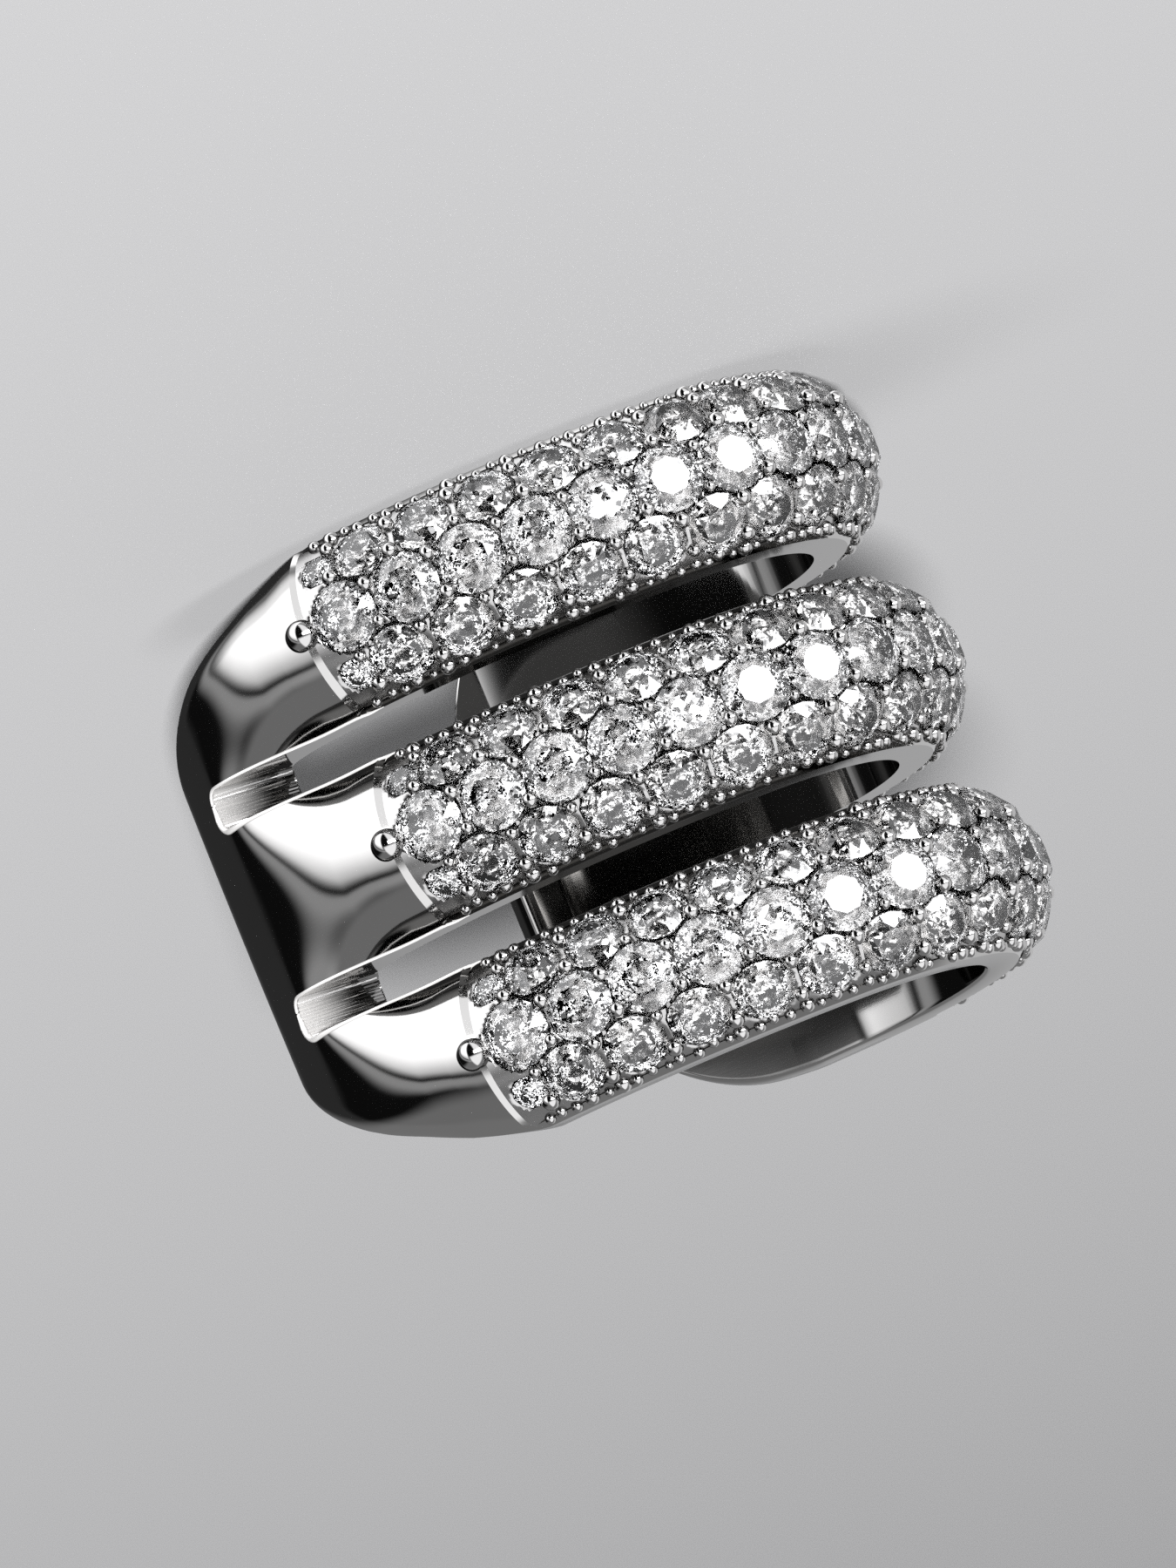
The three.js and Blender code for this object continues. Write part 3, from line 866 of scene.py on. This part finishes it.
def gold(name, colour, low, high, scratches, grime=0.0, metallic=1.0):
    """White gold whose roughness clouds between low and high, with fine wheel marks."""
    made, nodes, links, shader = material(name, colour)
    shader.inputs["Metallic"].default_value = metallic
    place = nodes.new("ShaderNodeTexCoord")
    cloud = nodes.new("ShaderNodeTexNoise")
    cloud.inputs["Scale"].default_value = CLOUD_SCALE
    cloud.inputs["Detail"].default_value = 3
    links.new(place.outputs["Object"], cloud.inputs["Vector"])
    polish = nodes.new("ShaderNodeMapRange")
    polish.inputs["To Min"].default_value = low
    polish.inputs["To Max"].default_value = high
    links.new(cloud.outputs["Fac"], polish.inputs["Value"])
    links.new(polish.outputs[0], shader.inputs["Roughness"])
    tone = nodes.new("ShaderNodeValToRGB")
    tone.color_ramp.elements[0].position = 0.35
    tone.color_ramp.elements[1].position = 0.65
    tone.color_ramp.elements[0].color = (*[c * (0.97 - grime) for c in colour], 1)
    tone.color_ramp.elements[1].color = (*colour, 1)
    links.new(cloud.outputs["Fac"], tone.inputs["Fac"])
    links.new(tone.outputs[0], shader.inputs["Base Color"])
    wheel = nodes.new("ShaderNodeMapping")
    wheel.inputs["Scale"].default_value = WHEEL_SCALE
    links.new(place.outputs["Object"], wheel.inputs["Vector"])
    marks = nodes.new("ShaderNodeTexNoise")
    marks.inputs["Scale"].default_value = 1.0
    marks.inputs["Detail"].default_value = 2
    links.new(wheel.outputs[0], marks.inputs["Vector"])
    bump = nodes.new("ShaderNodeBump")
    bump.inputs["Strength"].default_value = scratches
    bump.inputs["Distance"].default_value = MARK_HEIGHT
    links.new(marks.outputs["Fac"], bump.inputs["Height"])
    links.new(bump.outputs[0], shader.inputs["Normal"])
    return made


def run_out(finish, start, end):
    """Lets the filed finish begin at one place along X and be full at another."""
    nodes, links = finish.node_tree.nodes, finish.node_tree.links
    shader = nodes["Principled BSDF"]
    place = nodes.new("ShaderNodeTexCoord")
    split = nodes.new("ShaderNodeSeparateXYZ")
    links.new(place.outputs["Object"], split.inputs[0])
    satin = shader.inputs["Roughness"].links[0].from_socket
    for label, polished in (("Metallic", 1.0), ("Roughness", POLISHED_ROUGHNESS)):
        share = nodes.new("ShaderNodeMapRange")
        share.interpolation_type = "SMOOTHSTEP"
        share.inputs["From Min"].default_value = start
        share.inputs["From Max"].default_value = end
        share.inputs["To Min"].default_value = polished
        share.inputs["To Max"].default_value = FILED_METALLIC
        links.new(split.outputs["X"], share.inputs["Value"])
        links.new(share.outputs[0], shader.inputs[label])
    links.new(satin, share.inputs["To Max"])


def diamond():
    """Clear stone whose faces break up into small flats that each lean a little; some flats are
    painted black or grey as painted dark sparkle.
    """
    made, nodes, links, shader = material("cut_stone", (0.95, 0.97, 1.0))
    shader.inputs["Transmission Weight"].default_value = 1.0
    shader.inputs["Roughness"].default_value = 0.0
    shader.inputs["IOR"].default_value = STONE_IOR
    place = nodes.new("ShaderNodeTexCoord")
    flats = nodes.new("ShaderNodeTexVoronoi")
    flats.inputs["Scale"].default_value = 1 / FLAT_SIZE
    links.new(place.outputs["Object"], flats.inputs["Vector"])
    centred = nodes.new("ShaderNodeVectorMath")
    centred.operation = "SUBTRACT"
    centred.inputs[1].default_value = (0.5, 0.5, 0.5)
    links.new(flats.outputs["Color"], centred.inputs[0])
    lean = nodes.new("ShaderNodeVectorMath")
    lean.operation = "SCALE"
    lean.inputs["Scale"].default_value = FLAT_LEAN
    links.new(centred.outputs[0], lean.inputs[0])
    surface = nodes.new("ShaderNodeNewGeometry")
    leaning = nodes.new("ShaderNodeVectorMath")
    leaning.operation = "ADD"
    links.new(surface.outputs["Normal"], leaning.inputs[0])
    links.new(lean.outputs[0], leaning.inputs[1])
    even = nodes.new("ShaderNodeVectorMath")
    even.operation = "NORMALIZE"
    links.new(leaning.outputs[0], even.inputs[0])
    links.new(even.outputs[0], shader.inputs["Normal"])
    # Painted sparkle: each flat's colour runs from black through grey to clear white, standing in
    # for dark and bright reflections.
    tone = nodes.new("ShaderNodeValToRGB")
    tone.color_ramp.elements[0].color = PAINTED_DARK_FLAT
    tone.color_ramp.elements[1].color = BRIGHT_FLAT
    for position, level in PAINTED_GREY_FLATS:
        tone.color_ramp.elements.new(position).color = (level, level, level, 1)
    links.new(flats.outputs["Color"], tone.inputs["Fac"])
    links.new(tone.outputs[0], shader.inputs["Base Color"])
    return made


white_gold = gold("white_gold_polish", (0.86, 0.85, 0.835), 0.05, 0.11, 0.05)
setting_gold = gold("setting_gold", (0.88, 0.87, 0.86), 0.16, 0.30, 0.10, grime=0.10)
bead_gold = gold("bead_gold", (0.90, 0.89, 0.88), 0.05, 0.12, 0.05)
rim_gold = gold("rim_gold", (0.92, 0.91, 0.90), 0.15, 0.35, 0.10, metallic=RIM_METALLIC)
filed_gold = gold("filed_gold", (0.80, 0.79, 0.78), 0.25, 0.50, 0.30, grime=0.1)
cut_stone = diamond()


# Camera and light.

def direction_of(azimuth, elevation):
    """Unit vector towards an azimuth, from the front and positive towards +X, and elevation."""
    azimuth, elevation = math.radians(azimuth), math.radians(elevation)
    return Vector((
        math.sin(azimuth) * math.cos(elevation),
        -math.cos(azimuth) * math.cos(elevation),
        math.sin(elevation),
    ))


def aimed(azimuth, elevation, distance):
    """Place and turn of what looks at the cuff from a direction and a distance."""
    towards = direction_of(azimuth, elevation)
    turn = towards.to_track_quat("Z", "Y").to_matrix().to_4x4()
    return Matrix.Translation(CAMERA_AIM + towards * distance) @ turn


def camera():
    made = bpy.data.cameras.new("camera")
    made.sensor_width = SENSOR_WIDTH
    made.sensor_fit = "HORIZONTAL"
    made.lens = SENSOR_WIDTH * CAMERA_DISTANCE / PICTURE_WIDTH
    made.clip_start, made.clip_end = CAMERA_CLIP
    holder = bpy.data.objects.new("camera", made)
    bpy.context.collection.objects.link(holder)
    roll = Matrix.Rotation(math.radians(CAMERA_ROLL), 4, "Z")
    holder.matrix_world = aimed(CAMERA_AZIMUTH, CAMERA_ELEVATION, CAMERA_DISTANCE) @ roll
    bpy.context.scene.camera = holder


def floor():
    """A plain pale floor, which metal and stones don't mirror."""
    low, high = -FLOOR_HALF, FLOOR_HALF
    corners = [(low, low, 0), (high, low, 0), (high, high, 0), (low, high, 0)]
    made = new_object("floor", corners, [(0, 1, 2, 3)])
    paper, _, _, shader = material("pale_floor", FLOOR_COLOUR)
    shader.inputs["Base Color"].default_value = (*FLOOR_COLOUR, 1)
    shader.inputs["Roughness"].default_value = 0.6
    made.data.materials.append(paper)
    made.visible_glossy = False
    made.visible_transmission = False


def softbox(name, azimuth, elevation, distance, size, power):
    """A round soft lamp that isn't mirrored, because the sky has windows for that."""
    lamp = bpy.data.lights.new(name, "AREA")
    lamp.shape = "DISK"
    lamp.size = size
    lamp.energy = power
    holder = bpy.data.objects.new(name, lamp)
    bpy.context.collection.objects.link(holder)
    holder.matrix_world = aimed(azimuth, elevation, distance)
    holder.visible_camera = False
    holder.visible_glossy = False
    holder.visible_transmission = False


# The studio round the cuff: soft windows, each a part of the sky with soft
# sides. A window has a brightness and its sides. A side is a great circle
# through two directions of azimuth and elevation, with its softness in degrees.
# Going up along it, the window lies at the lower azimuths, and going towards
# higher azimuths, it lies above.
WINDOWS = {
    "side window": (0.42, [((66, -3), (44, 22), 2), ((85, -30), (79, -5), 3),
                           ((140, -50), (85, -30), 4), ((30, 60), (30, -60), 5)]),
    "side lamp": (0.95, [((72, -24), (45, -3), 14), ((150, -56), (80, -26), 8),
                         ((30, 60), (30, -60), 5)]),
    "table lamp": (8.0, [((-18, -40), (-18, 10), 3), ((-78, 10), (-78, -40), 4),
                         ((-18, -1), (-78, -1), 3), ((-78, -17), (-18, -17), 3)]),
    "low front lamp": (0.9, [((-25, -60), (-25, 0), 4), ((-72, 0), (-72, -60), 5),
                             ((-25, -14), (-72, -14), 4)]),
    "front lamp": (0.8, [((22, -60), (22, 60), 5), ((-70, 60), (-70, -60), 6),
                         ((-60, 10), (20, 10), 6)]),
    "upper glow": (0.26, [((44, 22), (66, -3), 2), ((80, -5), (58, 22), 5),
                          ((110, 38), (20, 38), 24)]),
    "top glow": (0.15, [((20, 24), (110, 24), 10)]),
    "end glow": (0.02, [((112, 60), (112, -60), 6)]),
    "back glow": (0.35, [((-85, -60), (-85, 60), 12), ((172, 60), (172, -60), 8),
                         ((-95, 40), (180, 40), 10)]),
}
ROOM = 0.004
# What the stones gather: many small lamps with dark between them.
SPARK_SCALE = 5.0
SPARK_BRIGHTNESS = 4.6
SPARK_EDGE = (0.56, 0.60)
SPARK_DARK = 0.02
# Share of the studio that is left after more than one reflection in metal.
DEEP_SHARE = 0.12


def studio():
    """Paints the windows on the sky for metal, and the small lamps for the stones."""
    world = bpy.context.scene.world or bpy.data.worlds.new("studio")
    bpy.context.scene.world = world
    world.use_nodes = True
    nodes, links = world.node_tree.nodes, world.node_tree.links
    backdrop = nodes["Background"]
    backdrop.inputs["Color"].default_value = (0.98, 0.985, 1.0, 1)
    place = nodes.new("ShaderNodeTexCoord")
    total = None
    for label, (brightness, sides) in WINDOWS.items():
        share = None
        for first, second, softness in sides:
            plane = direction_of(*first).cross(direction_of(*second)).normalized()
            dot = nodes.new("ShaderNodeVectorMath")
            dot.operation = "DOT_PRODUCT"
            dot.inputs[1].default_value = plane
            links.new(place.outputs["Generated"], dot.inputs[0])
            edge = nodes.new("ShaderNodeMapRange")
            edge.interpolation_type = "SMOOTHSTEP"
            edge.inputs["From Min"].default_value = -math.sin(math.radians(softness))
            edge.inputs["From Max"].default_value = math.sin(math.radians(softness))
            edge.inputs["To Max"].default_value = brightness if share is None else 1.0
            links.new(dot.outputs["Value"], edge.inputs["Value"])
            if share is None:
                share = edge.outputs[0]
            else:
                both = nodes.new("ShaderNodeMath")
                both.operation = "MULTIPLY"
                links.new(share, both.inputs[0])
                links.new(edge.outputs[0], both.inputs[1])
                share = both.outputs[0]
        added = nodes.new("ShaderNodeMath")
        added.operation = "ADD"
        added.label = label
        links.new(share, added.inputs[0])
        if total is None:
            added.inputs[1].default_value = ROOM
        else:
            links.new(total, added.inputs[1])
        total = added.outputs[0]
    through = nodes.new("ShaderNodeLightPath")
    spots = nodes.new("ShaderNodeTexVoronoi")
    spots.inputs["Scale"].default_value = SPARK_SCALE
    links.new(place.outputs["Generated"], spots.inputs["Vector"])
    sparks = nodes.new("ShaderNodeMapRange")
    sparks.inputs["From Min"].default_value = SPARK_EDGE[0]
    sparks.inputs["From Max"].default_value = SPARK_EDGE[1]
    sparks.inputs["To Min"].default_value = SPARK_DARK
    sparks.inputs["To Max"].default_value = SPARK_BRIGHTNESS
    links.new(spots.outputs["Color"], sparks.inputs["Value"])
    deep = nodes.new("ShaderNodeMapRange")
    deep.inputs["From Min"].default_value = 1
    deep.inputs["From Max"].default_value = 2
    deep.inputs["To Min"].default_value = 1
    deep.inputs["To Max"].default_value = DEEP_SHARE
    links.new(through.outputs["Glossy Depth"], deep.inputs["Value"])
    dimmed = nodes.new("ShaderNodeMath")
    dimmed.operation = "MULTIPLY"
    links.new(total, dimmed.inputs[0])
    links.new(deep.outputs[0], dimmed.inputs[1])
    chosen = nodes.new("ShaderNodeMix")
    links.new(through.outputs["Is Transmission Ray"], chosen.inputs["Factor"])
    links.new(dimmed.outputs[0], chosen.inputs["A"])
    links.new(sparks.outputs[0], chosen.inputs["B"])
    links.new(chosen.outputs[0], backdrop.inputs["Strength"])
    world.cycles_visibility.diffuse = False
    world.cycles.sampling_method = "NONE"


def light_paths():
    """Few bounces and no caustics, and no denoising, which would blur the stones."""
    settings = bpy.context.scene.cycles
    settings.use_denoising = False
    settings.max_bounces = 9
    settings.transmission_bounces = 8
    settings.glossy_bounces = 4
    settings.caustics_reflective = False
    settings.caustics_refractive = False
    bpy.context.scene.view_settings.view_transform = "Standard"


camera()
floor()
softbox("key", *KEY_LAMP)
softbox("fill", *FILL_LAMP)
studio()
light_paths()


# The pieces.

def finish_piece(piece, finish, replaces=()):
    """Gives a piece its finish and tells the frame what it is and what it stands for."""
    piece.data.materials.clear()
    piece.data.materials.append(finish)
    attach(piece, "root")
    if replaces:
        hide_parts(*replaces)


metal, uncut = polished_frame()
finish_piece(metal, white_gold, ["cuff_frame"])
for gap in GAPS:
    finish_piece(slot_rim(gap, uncut), rim_gold)
    face = filed_end(gap)
    finish_piece(face, filed_gold)
reach = [corner.co.x for corner in face.data.vertices]
run_out(filed_gold, mix(min(reach), max(reach), FILED_START), max(reach))

stone_pattern = bpy.data.objects.new("stone_pattern", brilliant_mesh())
bead_pattern = bpy.data.objects.new("bead_pattern", bead_mesh("bead", 1.0, 12, 8, (0, 0, 0)))
stone_tree = setting_tree("set_stones")
for rail in RAILS:
    finish_piece(setting_skin(rail), setting_gold, [f"pave_field_{rail + 1}"])
    places = [
        (*seat(rail, run, lean, GIRDLE_DROP), size) for run, lean, size in STONE_ROWS
    ]
    stones = set_on_seats(
        f"stones_{rail + 1}", places, stone_pattern, stone_tree, cut_stone,
        **{"Largest turn": STONE_TURN, "Largest tilt": STONE_TILT},
    )
    finish_piece(stones, cut_stone, [f"pave_field_{rail + 1}"])
    places = [
        (*seat(rail, run, lean, depth), size) for run, lean, depth, size in bead_rows(rail)
    ]
    beads = set_on_seats(
        f"beads_{rail + 1}", places, bead_pattern, stone_tree, bead_gold,
        **{"Size play": BEAD_SIZE_PLAY},
    )
    finish_piece(beads, bead_gold)
for pattern in (stone_pattern, bead_pattern):
    bpy.data.objects.remove(pattern)

for rail in RAILS:
    finish_piece(head_bead(rail), bead_gold)
